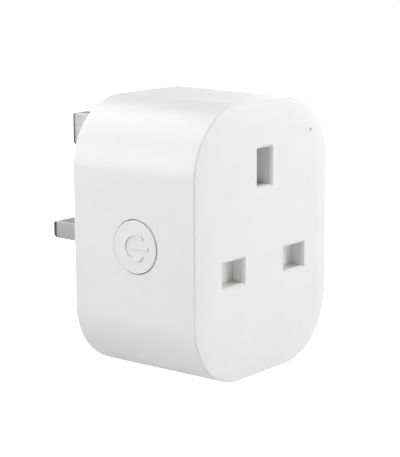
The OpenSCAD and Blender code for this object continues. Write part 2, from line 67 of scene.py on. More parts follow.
# The shell: its outside, its rounded edges and its hollow
housing_low, housing_high = in_mm(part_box("front_housing"))
WALL_W = 50.0
WALL_H = housing_high.z - housing_low.z
DEPTH = -housing_low.y
FACE_Y = housing_low.y
CORNER_R = 15.4
SIDE_DRAFT = 0.9
TOP_DRAFT = 0.2
SIDE_LEAN = SIDE_DRAFT / DEPTH
FACE_EDGE_R = 0.3
CROWN = 0.25
CROWN_WIDTH = 7.5
WALL_EDGE_R = 0.5
FACE_WALL = 2.2
CAVITY = (WALL_W - 4.6, WALL_H - 4.2, CORNER_R - 2.2)
FACE_INNER_Y = FACE_Y + FACE_WALL

# Depths of the pieces behind the face
led_low, led_high = in_mm(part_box("light_pipe"))
SHUTTER_Y = in_mm(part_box("shutter"))[0].y
CARRIER_Y = SHUTTER_Y + 2.0
BOARD_Y = led_high.y + 1.8
COVER_Y = in_mm(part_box("rear_cover"))[0].y

# Indicator and button
LED_X = (led_low.x + led_high.x) / 2
LED_Z = (led_low.z + led_high.z) / 2
LED_HOLE_R = 0.35
button_low, button_high = in_mm(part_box("power_button"))
BUTTON_Y = -18.05
BUTTON_R = 5.9
BUTTON_RISE = 0.2
FLANGE_R = (button_high.z - button_low.z) / 2
BUTTON_GAP = 0.2
BUTTON_EDGE_R = 0.12
SYMBOL_HEIGHT = 0.3

# Sockets, pins and screws
PIN_SPREAD = 11.1
SOCKET_Z = -6.0
EARTH_SOCKET_Z = 16.2
LIVE_APERTURE = (7.3, 5.5)
EARTH_APERTURE = (4.9, 8.4)
CHAMFER = 0.55
SLIDE_GAP = 0.2
EARTH_BLADE = (3.97, 7.92)
NECK_INSET = 0.5
NECK_CORNER = 0.25
SLEEVE_CORNER = 0.3
SLEEVE_END = 9.0
LIVE_TAIL, LIVE_FLANGE = (3, 1.2), (8.4, 6)
EARTH_TAIL, EARTH_FLANGE = (3, 3), (6, 9.6)
COVER_SCREWS = ((-19.2, 11.0), (19.2, 11.0), (-16.3, -22.5), (16.3, -22.5))
CARRIER_SCREWS = ((-9.0, 4.5), (9.0, 4.5))


# ---------------------------------------------------------------- mesh building

def rounded_ring(y, width, height, radius, center=(0.0, 0.0), steps=CORNER_STEPS):
    """Closed ring of a rounded rectangle in X and Z at depth y."""
    radius = max(min(radius, width / 2 - 1e-4, height / 2 - 1e-4), 1e-3)
    ring = []
    for quarter, (sx, sz) in enumerate(((1, 1), (-1, 1), (-1, -1), (1, -1))):
        cx = center[0] + sx * (width / 2 - radius)
        cz = center[1] + sz * (height / 2 - radius)
        for i in range(steps + 1):
            a = math.radians(90 * (quarter + i / steps))
            ring.append((cx + radius * math.cos(a), y, cz + radius * math.sin(a)))
    return ring


def circle_ring(y, radius, center=(0.0, 0.0), count=64):
    """Closed ring of a circle in X and Z at depth y."""
    ring = []
    for i in range(count):
        a = 2 * math.pi * i / count
        ring.append((center[0] + radius * math.cos(a), y, center[1] + radius * math.sin(a)))
    return ring


def loft(rings):
    """Closed solid through rings with equal point counts, capped at both ends."""
    count = len(rings[0])
    verts = [p for ring in rings for p in ring]
    faces = [list(range(count))]
    for k in range(len(rings) - 1):
        a, b = k * count, (k + 1) * count
        for i in range(count):
            j = (i + 1) % count
            faces.append([a + i, b + i, b + j, a + j])
    last = (len(rings) - 1) * count
    faces.append([last + i for i in reversed(range(count))])
    return verts, faces


def box_solid(low, high):
    """Box between two corners."""
    x0, y0, z0 = low
    x1, y1, z1 = high
    return loft([[(x0, y, z0), (x1, y, z0), (x1, y, z1), (x0, y, z1)] for y in (y0, y1)])


def post_solid(x, z, y0, y1, radius, count=48):
    """Round post along the depth."""
    return loft([circle_ring(y0, radius, (x, z), count), circle_ring(y1, radius, (x, z), count)])


def rod_solid(profile, y, z, lean=0.0, count=96):
    """Solid of revolution along X from (x, radius) pairs. lean shifts x with depth."""
    rings = []
    for x, radius in profile:
        ring = []
        for i in range(count):
            a = 2 * math.pi * i / count
            dy = radius * math.cos(a)
            ring.append((x - lean * dy, y + dy, z + radius * math.sin(a)))
        rings.append(ring)
    return loft(rings)


def arc_profile(start, end, steps):
    """(sine, one minus cosine) pairs along an arc between two angles in degrees."""
    pairs = []
    for i in range(steps + 1):
        a = math.radians(start + (end - start) * i / steps)
        pairs.append((math.sin(a), 1 - math.cos(a)))
    return pairs


def mesh_object(name, solid):
    """Object from a solid, in millimetres, with its faces turned outward."""
    mesh = bpy.data.meshes.new(name)
    mesh.from_pydata([tuple(p) for p in solid[0]], [], [tuple(f) for f in solid[1]])
    bm = bmesh.new()
    bm.from_mesh(mesh)
    bmesh.ops.recalc_face_normals(bm, faces=bm.faces)
    bm.to_mesh(mesh)
    bm.free()
    obj = bpy.data.objects.new(name, mesh)
    bpy.context.scene.collection.objects.link(obj)
    return obj


def combine(obj, operation, solids):
    """Boolean of obj with all the solids, applied to obj's mesh."""
    tools = bpy.data.collections.new("tools")
    bpy.context.scene.collection.children.link(tools)
    helpers = []
    for i, solid in enumerate(solids):
        helper = mesh_object("tool_%d" % i, solid)
        bpy.context.scene.collection.objects.unlink(helper)
        tools.objects.link(helper)
        helpers.append(helper)
    modifier = obj.modifiers.new("combine", "BOOLEAN")
    modifier.operation = operation
    modifier.solver = "EXACT"
    modifier.operand_type = "COLLECTION"
    modifier.collection = tools
    graph = bpy.context.evaluated_depsgraph_get()
    result = bpy.data.meshes.new_from_object(obj.evaluated_get(graph))
    obj.modifiers.clear()
    old = obj.data
    obj.data = result
    bpy.data.meshes.remove(old)
    for helper in helpers:
        mesh = helper.data
        bpy.data.objects.remove(helper)
        bpy.data.meshes.remove(mesh)
    bpy.data.collections.remove(tools)


def finish_shading(obj, angle=32.0):
    """Smooth shading with sharp creases and large faces kept flat."""
    bm = bmesh.new()
    bm.from_mesh(obj.data)
    bmesh.ops.remove_doubles(bm, verts=bm.verts, dist=2e-4)
    bmesh.ops.dissolve_degenerate(bm, dist=1e-4, edges=bm.edges)
    bm.to_mesh(obj.data)
    bm.free()
    obj.data.shade_smooth()
    obj.data.set_sharp_from_angle(angle=math.radians(angle))
    weighted = obj.modifiers.new("even_normals", "WEIGHTED_NORMAL")
    weighted.mode = "FACE_AREA"
    weighted.weight = 90
    weighted.keep_sharp = True


def place(obj, body, slot, *nodes):
    """Scales a piece to metres, ties it to its body and hides the CAD nodes it stands in for;
    slot is not used.
    """
    obj.data.transform(Matrix.Scale(MM, 4))
    obj.data.update()
    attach(obj, body)
    if nodes:
        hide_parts(*nodes)
    return obj


# ---------------------------------------------------------------- housing

def body_ring(y, inset):
    """Outline of the leaning body at depth y, moved inward by inset."""
    run = -y / DEPTH
    return rounded_ring(
        y,
        WALL_W - 2 * (SIDE_DRAFT * run + inset),
        WALL_H - 2 * (TOP_DRAFT * run + inset),
        CORNER_R - inset)


def side_x(y):
    """X of the flat left side at depth y."""
    return -WALL_W / 2 + SIDE_DRAFT * -y / DEPTH


def body_rings():
    """Rings from the wall face over the leaning sides to a slightly crowned socket face."""
    rings = [body_ring(-WALL_EDGE_R * (1 - s), WALL_EDGE_R * c)
             for s, c in arc_profile(90, 0, 5)]
    for y in (-6.0, -12.0, -18.0, -24.0, -30.0):
        rings.append(body_ring(y, 0.0))
    edge_y = FACE_Y + CROWN
    for s, c in arc_profile(0, 84, 9):
        crown_start = FACE_EDGE_R * c
        rings.append(body_ring(edge_y + FACE_EDGE_R * (1 - s), crown_start))
    crown_steps = 14
    for i in range(1, crown_steps + 1):
        t = i / crown_steps
        rings.append(body_ring(FACE_Y + CROWN * (1 - t) ** 3, crown_start + CROWN_WIDTH * t))
    return rings


def aperture_cutter(size, center, end_y):
    """Aperture with a 45 degree mouth whose two edges are slightly rounded."""
    lip = 0.18
    corner = 0.25
    steps = 8
    reach = CHAMFER + lip * math.tan(math.radians(22.5))
    w, h = size
    rings = [rounded_ring(FACE_Y - 1, w + 2 * (CHAMFER + lip), h + 2 * (CHAMFER + lip),
                          corner + lip, center, steps)]
    for s, c in arc_profile(0, 45, 3):
        grow = reach - lip * s
        rings.append(rounded_ring(FACE_Y + lip * c, w + 2 * grow, h + 2 * grow,
                                  corner + lip, center, steps))
    for s, c in arc_profile(45, 0, 3):
        grow = lip * c
        rings.append(rounded_ring(FACE_Y + reach - lip * s, w + 2 * grow, h + 2 * grow,
                                  corner + grow, center, steps))
    rings.append(rounded_ring(end_y, w, h, corner, center, steps))
    return loft(rings)


def hole_cutter(x, z, y0, y1, radius):
    """Round hole along the depth."""
    return post_solid(x, z, y0, y1, radius, HOLE_SIDES)


def make_housing():
    """Shell with its bosses and collars, three apertures, button hole and indicator hole."""
    housing = mesh_object("housing_shell", loft(body_rings()))
    cavity = [rounded_ring(y, CAVITY[0], CAVITY[1], CAVITY[2]) for y in (FACE_INNER_Y, 1.0)]
    combine(housing, "DIFFERENCE", [loft(cavity)])

    sunk = 0.1
    root_y = FACE_INNER_Y - sunk
    board_boss_r, cover_boss_r, carrier_boss_r, led_boss_r = 3.4, 2.6, 2.2, 2.2
    added = []
    for x, z in COVER_SCREWS:
        added.append(post_solid(x, z, root_y, BOARD_Y, board_boss_r))
        added.append(post_solid(x, z, BOARD_Y - sunk, COVER_Y, cover_boss_r))
    for x, z in CARRIER_SCREWS:
        added.append(post_solid(x, z, root_y, CARRIER_Y, carrier_boss_r))
    wall = 1.2
    for size, center, end_y in aperture_places():
        w, h = size[0] / 2 + wall, size[1] / 2 + wall
        added.append(box_solid((center[0] - w, root_y, center[1] - h),
                               (center[0] + w, end_y, center[1] + h)))
    inner_x = CAVITY[0] / 2
    ring_r = FLANGE_R + 1.3
    added.append(rod_solid(((-inner_x - sunk, ring_r), (-inner_x + 2, ring_r)), BUTTON_Y, 0.0))
    added.append(post_solid(LED_X, LED_Z, root_y, FACE_INNER_Y + 2.5, led_boss_r))
    combine(housing, "UNION", added)

    cut = [aperture_cutter(size, center, end_y + 1) for size, center, end_y in aperture_places()]
    half_w = EARTH_APERTURE[0] / 2
    cut.append(box_solid((-half_w, SHUTTER_Y - SLIDE_GAP, EARTH_SOCKET_Z - EARTH_APERTURE[1]),
                         (half_w, CARRIER_Y, EARTH_SOCKET_Z)))
    lip = 0.16
    hole_r = BUTTON_R + BUTTON_GAP
    surface = side_x(BUTTON_Y)
    profile = [(surface - 2, hole_r + lip)]
    for s, c in arc_profile(0, 90, 4):
        profile.append((surface + lip * c, hole_r + lip * (1 - s)))
    profile.append((-inner_x + 1, hole_r))
    cut.append(rod_solid(profile, BUTTON_Y, 0.0, SIDE_LEAN, 160))
    flange_r = FLANGE_R + 0.3
    cut.append(rod_solid(((-inner_x, flange_r), (-inner_x + 3, flange_r)), BUTTON_Y, 0.0))
    cover_hole_r, carrier_hole_r, pipe_r = 1.1, 0.9, 1.2
    for x, z in COVER_SCREWS:
        cut.append(hole_cutter(x, z, COVER_Y - 12, 1, cover_hole_r))
    for x, z in CARRIER_SCREWS:
        cut.append(hole_cutter(x, z, FACE_INNER_Y, CARRIER_Y + 1, carrier_hole_r))
    mouth = 0.06
    cut.append(loft([circle_ring(y, radius, (LED_X, LED_Z), HOLE_SIDES) for y, radius in (
        (FACE_Y - 1, LED_HOLE_R + mouth), (FACE_Y, LED_HOLE_R + mouth),
        (FACE_Y + mouth, LED_HOLE_R), (FACE_Y + 1.1, LED_HOLE_R))]))
    cut.append(hole_cutter(LED_X, LED_Z, FACE_Y + 1, FACE_INNER_Y + 3, pipe_r))
    combine(housing, "DIFFERENCE", cut)
    finish_shading(housing)
    return place(housing, "housing", "housing_plastic", "front_housing")


def aperture_places():
    """Size, centre and collar end of each aperture."""
    collar_gap = 0.05
    live_end = SHUTTER_Y - collar_gap
    return ((LIVE_APERTURE, (PIN_SPREAD, SOCKET_Z), live_end),
            (LIVE_APERTURE, (-PIN_SPREAD, SOCKET_Z), live_end),
            (EARTH_APERTURE, (0.0, EARTH_SOCKET_Z), CARRIER_Y - SLIDE_GAP))


# ---------------------------------------------------------------- button

# The button's face, and the power symbol's stroke, arc and bar
BUTTON_X = side_x(BUTTON_Y) - BUTTON_RISE
STROKE = 0.6
ARC_R = 2.85
GAP_ANGLE = 44.0
BAR_FRONT = 3.8
BAR_REAR = 0.8


def arc_outline(half):
    """Outline of the power symbol's arc with round ends, in Y and Z from its centre."""
    first, last = 180 - GAP_ANGLE, -180 + GAP_ANGLE
    points = []
    steps, cap_steps = 72, 8
    for i in range(steps + 1):
        a = math.radians(first + (last - first) * i / steps)
        points.append(((ARC_R + half) * math.cos(a), (ARC_R + half) * math.sin(a)))
    for end, turn in ((last, 0), (first, 1)):
        a = math.radians(end)
        tip = (ARC_R * math.cos(a), ARC_R * math.sin(a))
        for i in range(1, cap_steps):
            b = a - math.pi * i / cap_steps + (math.pi if turn else 0)
            points.append((tip[0] + half * math.cos(b), tip[1] + half * math.sin(b)))
        if not turn:
            for i in range(steps + 1):
                c = math.radians(last + (first - last) * i / steps)
                points.append(((ARC_R - half) * math.cos(c), (ARC_R - half) * math.sin(c)))
    return points


def bar_outline(half):
    """Outline of the power symbol's bar with slightly rounded corners."""
    shrink = STROKE / 2 - half
    y0, y1 = -BAR_FRONT + shrink, BAR_REAR - shrink
    r = 0.12
    points = []
    for quarter, (cy, cz) in enumerate(((y1 - r, half - r), (y0 + r, half - r),
                                        (y0 + r, -half + r), (y1 - r, -half + r))):
        for i in range(5):
            a = math.radians(90 * (quarter + i / 4))
            points.append((cy + r * math.cos(a), cz + r * math.sin(a)))
    return points


def symbol_solid(outline):
    """Raised stroke on the leaning button face, with a small bevel along its top edges."""
    bevel = 0.02
    rings = []
    for height, inset in ((-0.4, 0.0), (SYMBOL_HEIGHT - bevel, 0.0),
                          (SYMBOL_HEIGHT - bevel * 0.3, bevel * 0.3), (SYMBOL_HEIGHT, bevel)):
        rings.append([(BUTTON_X - SIDE_LEAN * y - height, BUTTON_Y + y, z)
                      for y, z in outline(STROKE / 2 - inset)])
    return loft(rings)


def make_button():
    """Round button whose outer face follows the leaning side, with a raised symbol."""
    flange_x = button_high.x - 0.6
    count = 160
    profile = [(BUTTON_X + BUTTON_EDGE_R * c, BUTTON_R - BUTTON_EDGE_R * (1 - s))
               for s, c in arc_profile(0, 90, 6)]
    profile += [(flange_x, BUTTON_R), (flange_x, FLANGE_R), (button_high.x, FLANGE_R)]
    rings = []
    for x, radius in profile:
        tilt = SIDE_LEAN if x < flange_x else 0.0
        ring = []
        for i in range(count):
            a = 2 * math.pi * i / count
            dy = radius * math.cos(a)
            ring.append((x - tilt * dy, BUTTON_Y + dy, radius * math.sin(a)))
        rings.append(ring)
    button = mesh_object("button_cap", loft(rings))
    combine(button, "UNION", [symbol_solid(arc_outline), symbol_solid(bar_outline)])
    finish_shading(button, 40)
    return place(button, "button", "button_plastic", "power_button")


# ---------------------------------------------------------------- rear side

def make_cover():
    """Rear plate with slots for the pins and sunk holes for its screws."""
    gap = 0.1
    edge = 0.2
    shank_r, head_r, rim_r = 1.25, 2.4, 2.6
    seat_y, rim_y = -1.2, -0.2
    w, h, r = CAVITY[0] - 2 * gap, CAVITY[1] - 2 * gap, CAVITY[2] - gap
    rings = [rounded_ring(COVER_Y, w, h, r)]
    for s, c in arc_profile(0, 90, 4):
        inset = edge * c
        rings.append(rounded_ring(-edge * (1 - s), w - 2 * inset, h - 2 * inset, r - inset))
    cover = mesh_object("cover_plate", loft(rings))
    cut = []
    for node in ("line_pin_sleeve", "neutral_pin_sleeve", "earth_pin"):
        size, center = pin_section(node)
        cut.append(loft([blade_ring(y, size, SLEEVE_CORNER, center) for y in (COVER_Y - 1, 1)]))
    for x, z in COVER_SCREWS:
        cut.append(hole_cutter(x, z, COVER_Y - 1, 1, shank_r))
        cut.append(loft([circle_ring(y, radius, (x, z)) for y, radius in (
            (seat_y, head_r), (rim_y, head_r), (0, rim_r), (1, rim_r))]))
    combine(cover, "DIFFERENCE", cut)
    finish_shading(cover)
    return place(cover, "housing", "cover_plastic", "rear_cover")


def pin_section(node):
    """((width, height), (x, z)) of the blade or sleeve in the cover."""
    low, high = in_mm(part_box(node))
    center = ((low.x + high.x) / 2, (low.z + high.z) / 2)
    size = EARTH_BLADE if node == "earth_pin" else (high.x - low.x, high.z - low.z)
    return size, center


def blade_ring(y, size, corner, center, inset=0.0):
    """Ring of a blade or sleeve at depth y, moved inward by inset."""
    return rounded_ring(y, size[0] - 2 * inset, size[1] - 2 * inset, corner, center, 6)


def make_pin(name, node, section_node, sleeve, tail, flange):
    """Blade with a bevelled, softly rounded tip, a thin neck if sleeved, a flange and a tail.

    sleeve is the depth where its sleeve ends, or 0; tail and flange are sizes in X and Z."""
    low, high = in_mm(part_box(node))
    size, center = pin_section(section_node)
    tip = high.y
    across, along = 0.6, 1.2
    edge = 0.03
    flange_y = COVER_Y - 1.2
    rings = [blade_ring(y, part, min(part) * 0.1, center) for y, part in (
        (low.y, tail), (flange_y, tail), (flange_y, flange), (COVER_Y, flange))]
    start = COVER_Y
    if sleeve:
        start = sleeve
        rings += [blade_ring(y, size, NECK_CORNER, center, NECK_INSET) for y in (COVER_Y, sleeve)]
    rings.append(blade_ring(start, size, edge, center))
    bend = math.atan2(across, along)
    soft = 2.4
    reach = soft * math.tan(bend / 2)
    for s, c in arc_profile(0, math.degrees(bend), 4):
        rings.append(blade_ring(tip - along - reach + soft * s, size, edge, center, soft * c))
    turn = math.pi / 2 - bend
    nose = 0.3
    top_inset = across + nose * math.tan(turn / 2)
    for s, c in arc_profile(math.degrees(turn), 0, 5):
        rings.append(blade_ring(tip - nose * c, size, edge, center, top_inset - nose * s))
    pin = mesh_object(name, loft(rings))
    finish_shading(pin, 38)
    return place(pin, "housing", "pin_metal", node)


def make_sleeve(name, node):
    """Insulating sleeve around the neck of a pin."""
    size, center = pin_section(node)
    low, high = in_mm(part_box(node))
    edge = 0.15
    rings = [blade_ring(low.y, size, SLEEVE_CORNER, center)]
    for s, c in arc_profile(0, 90, 3):
        rings.append(blade_ring(high.y - edge * (1 - s), size, SLEEVE_CORNER, center, edge * c))
    sleeve = mesh_object(name, loft(rings))
    bore = [blade_ring(y, size, NECK_CORNER, center, NECK_INSET)
            for y in (low.y - 1, high.y + 1)]
    combine(sleeve, "DIFFERENCE", [loft(bore)])
    finish_shading(sleeve)
    return place(sleeve, "housing", "sleeve_plastic", node)


def make_screws():
    """Cover screws: a flat head with a rounded rim, a cross recess and a threaded shank."""
    low, high = in_mm(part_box("cover_screws"))
    head_r, head_t, rim = 2.2, 1.1, 0.3
    core_r, crest_r, neck_r = 0.85, 1.1, 0.95
    turns = 9
    pitch = (high.y - head_t - low.y) / turns
    slot_wide, slot_narrow = head_r * 0.6, 0.33
    recess = ((high.y - 0.66, 0.62), (high.y + 0.2, 1.05))
    solids = []
    cuts = []
    for x, z in COVER_SCREWS:
        rings = []
        for k in range(turns):
            base = low.y + k * pitch
            rings.append(circle_ring(base, core_r, (x, z), 40))
            rings.append(circle_ring(base + pitch / 2, crest_r, (x, z), 40))
        rings.append(circle_ring(high.y - head_t, neck_r, (x, z), 40))
        rings.append(circle_ring(high.y - head_t, head_r, (x, z), 40))
        for s, c in arc_profile(0, 90, 4):
            rings.append(circle_ring(high.y - rim * (1 - s), head_r - rim * c, (x, z), 40))
        solids.append(loft(rings))
        for half_x, half_z in ((slot_wide, slot_narrow), (slot_narrow, slot_wide)):
            cuts.append(loft([
                [(x + sx * half_x * k, y, z + sz * half_z * k)
                 for sx, sz in ((-1, -1), (1, -1), (1, 1), (-1, 1))]
                for y, k in recess]))
    screws = mesh_object("cover_screw_set", solids[0])
    combine(screws, "UNION", solids[1:])
    combine(screws, "DIFFERENCE", cuts)
    finish_shading(screws, 40)
    return place(screws, "housing", "screw_steel", "cover_screws")


def make_spring():
    """Compression spring under the shutter, wound at an even pitch from end to end."""
    low, high = in_mm(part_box("shutter_spring"))
    wire = 0.2
    radius = (high.x - low.x) / 2 - wire
    x, y = (low.x + high.x) / 2, (low.y + high.y) / 2
    turns, per_turn, sides = 7, 40, 12
    verts, faces = [], []
    total = turns * per_turn
    for k in range(total + 1):
        t = k / total
        a = 2 * math.pi * turns * t
        z = low.z + wire + (high.z - low.z - 2 * wire) * t
        for s in range(sides):
            b = 2 * math.pi * s / sides
            r = radius + wire * math.cos(b)
            verts.append((x + r * math.cos(a), y + r * math.sin(a), z + wire * math.sin(b)))
    for k in range(total):
        for s in range(sides):
            n = (s + 1) % sides
            faces.append((k * sides + s, (k + 1) * sides + s, (k + 1) * sides + n, k * sides + n))
    faces.append(tuple(range(sides)))
    faces.append(tuple(total * sides + s for s in reversed(range(sides))))
    spring = mesh_object("return_spring", (verts, faces))
    spring.data.shade_smooth()
    place(spring, "housing", "spring_steel", "shutter_spring")
    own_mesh(spring)
    return spring


# ---------------------------------------------------------------- materials

class Nodes:
    """Short way to build a node tree."""

    def __init__(self, name):
        self.material = bpy.data.materials.new(name)
        self.material.use_nodes = True
        self.tree = self.material.node_tree
        self.tree.nodes.clear()
        self.output = self.tree.nodes.new("ShaderNodeOutputMaterial")
        self.shader = self.tree.nodes.new("ShaderNodeBsdfPrincipled")
        self.link(self.shader.outputs[0], self.output.inputs[0])
        self.coords = self.tree.nodes.new("ShaderNodeTexCoord").outputs["Object"]

    def link(self, source, target):
        """Link from an output socket to an input socket."""
        self.tree.links.new(source, target)

    def stretched(self, scale):
        """Object coordinates scaled along each axis."""
        node = self.tree.nodes.new("ShaderNodeMapping")
        node.inputs["Scale"].default_value = scale
        self.link(self.coords, node.inputs["Vector"])
        return node.outputs[0]

    def noise(self, scale, detail=3.0, roughness=0.55, vector=None, distortion=0.0):
        """Noise value, in object coordinates unless a vector is given."""
        node = self.tree.nodes.new("ShaderNodeTexNoise")
        node.inputs["Scale"].default_value = scale
        node.inputs["Detail"].default_value = detail
        node.inputs["Roughness"].default_value = roughness
        node.inputs["Distortion"].default_value = distortion
        self.link(vector or self.coords, node.inputs["Vector"])
        return node.outputs["Fac"]

    def ramp(self, factor, stops):
        """Colour ramp through (position, colour) stops."""
        node = self.tree.nodes.new("ShaderNodeValToRGB")
        elements = node.color_ramp.elements
        while len(elements) < len(stops):
            elements.new(0.5)
        for element, (position, color) in zip(elements, stops):
            element.position = position
            element.color = (*color, 1.0)
        self.link(factor, node.inputs["Fac"])
        return node.outputs["Color"]

    def spread(self, factor, low, high):
        """Maps a 0.3 to 0.7 noise value onto low to high."""
        node = self.tree.nodes.new("ShaderNodeMapRange")
        node.inputs["From Min"].default_value = 0.3
        node.inputs["From Max"].default_value = 0.7
        node.inputs["To Min"].default_value = low
        node.inputs["To Max"].default_value = high
        self.link(factor, node.inputs["Value"])
        return node.outputs["Result"]

    def bump(self, height, strength, distance, normal=None):
        """Bumped normal, laid over another one if given."""
        node = self.tree.nodes.new("ShaderNodeBump")
        node.inputs["Strength"].default_value = strength
        node.inputs["Distance"].default_value = distance
        self.link(height, node.inputs["Height"])
        if normal:
            self.link(normal, node.inputs["Normal"])
        return node.outputs["Normal"]


def shade(color, factor):
    """Colour made lighter or darker by a factor, up to full white."""
    return tuple(min(1.0, c * factor) for c in color)


def plastic(name, color, spread=0.02, rough=(0.4, 0.5), grain=2600.0, grain_depth=6e-6,
            subsurface=0.0, coat=0.0):
    """Moulded plastic: spark-eroded grain, faint flow variation and slow unevenness."""
    n = Nodes(name)
    flow = n.noise(90.0, 4.0, 0.5, distortion=0.6)
    n.link(n.ramp(flow, ((0.3, shade(color, 1 - spread)), (0.7, shade(color, 1 + spread)))),
           n.shader.inputs["Base Color"])
    patch = n.noise(260.0, 3.0)
    n.link(n.spread(patch, *rough), n.shader.inputs["Roughness"])
    wave = n.bump(n.noise(55.0, 1.0, 0.4), 0.5, 2e-4)
    fine = n.bump(n.noise(grain, 2.0, 0.6), 0.6, grain_depth * 4, wave)
    n.link(fine, n.shader.inputs["Normal"])
    n.shader.inputs["Specular IOR Level"].default_value = 0.5
    if subsurface:
        n.shader.inputs["Subsurface Weight"].default_value = subsurface
        n.shader.inputs["Subsurface Radius"].default_value = (1.0, 1.0, 1.0)
        n.shader.inputs["Subsurface Scale"].default_value = 0.0012
    if coat:
        n.shader.inputs["Coat Weight"].default_value = coat
        n.shader.inputs["Coat Roughness"].default_value = 0.12
    return n.material


def metal(name, color, spread=0.05, rough=(0.2, 0.34), along=(900.0, 60.0, 900.0),
          tarnish=0.0):
    """Drawn or stamped metal with fine lines along its length and faint staining."""
    n = Nodes(name)
    stain = n.noise(240.0, 5.0, 0.6, distortion=0.8)
    dark = shade(color, 1 - spread - tarnish)
    n.link(n.ramp(stain, ((0.3, dark), (0.7, shade(color, 1 + spread)))),
           n.shader.inputs["Base Color"])
    lines = n.noise(1.0, 4.0, 0.6, n.stretched(along))
    n.link(n.spread(lines, *rough), n.shader.inputs["Roughness"])
    dents = n.bump(n.noise(420.0, 2.0), 0.4, 2.4e-5)
    n.link(n.bump(lines, 0.5, 1.6e-5, dents), n.shader.inputs["Normal"])
    n.shader.inputs["Metallic"].default_value = 1.0
    return n.material


def laminate(name, color):
    """Circuit board: solder mask over a faint grid of copper tracks and pads."""
    n = Nodes(name)
    brick = n.tree.nodes.new("ShaderNodeTexBrick")
    brick.inputs["Scale"].default_value = 420.0
    brick.inputs["Mortar Size"].default_value = 0.035
    brick.inputs["Color1"].default_value = (*color, 1)
    brick.inputs["Color2"].default_value = (*shade(color, 0.8), 1)
    brick.inputs["Mortar"].default_value = (*shade(color, 1.9), 1)
    turned = n.tree.nodes.new("ShaderNodeMapping")
    turned.inputs["Rotation"].default_value = (math.radians(90), 0, 0)
    n.link(n.coords, turned.inputs["Vector"])
    n.link(turned.outputs[0], brick.inputs["Vector"])
    n.link(brick.outputs["Color"], n.shader.inputs["Base Color"])
    n.link(n.spread(n.noise(900.0), 0.22, 0.36), n.shader.inputs["Roughness"])
    n.link(n.bump(brick.outputs["Fac"], 0.4, 3e-5), n.shader.inputs["Normal"])
    return n.material


def winding(name, color):
    """Enamelled wire laid in close turns along Y, with painted shade between the turns and a
    painted sheen on their crowns.
    """
    n = Nodes(name)
    wave = n.tree.nodes.new("ShaderNodeTexWave")
    wave.bands_direction = "Y"
    wave.inputs["Scale"].default_value = 1600.0
    wave.inputs["Distortion"].default_value = 0.6
    wave.inputs["Detail Scale"].default_value = 2.0
    n.link(n.coords, wave.inputs["Vector"])
    # Painted shade: darker in the grooves between the turns, lighter on their crowns
    n.link(n.ramp(wave.outputs["Fac"], ((0.1, shade(color, 0.35)), (0.7, shade(color, 1.2)))),
           n.shader.inputs["Base Color"])
    n.link(n.spread(n.noise(700.0), 0.25, 0.4), n.shader.inputs["Roughness"])
    n.link(n.bump(wave.outputs["Fac"], 0.8, 1.2e-4), n.shader.inputs["Normal"])
    n.shader.inputs["Metallic"].default_value = 0.85
    return n.material


def frosted(name, color):
    """Milky acrylic that passes part of the light."""
    n = Nodes(name)
    n.link(n.ramp(n.noise(300.0), ((0.3, shade(color, 0.97)), (0.7, color))),
           n.shader.inputs["Base Color"])
    n.link(n.spread(n.noise(1500.0), 0.12, 0.25), n.shader.inputs["Roughness"])
    n.link(n.bump(n.noise(1200.0), 0.3, 1e-5), n.shader.inputs["Normal"])
    n.shader.inputs["Transmission Weight"].default_value = 0.3
    n.shader.inputs["IOR"].default_value = 1.49
    return n.material


WHITE = (0.78, 0.78, 0.78)

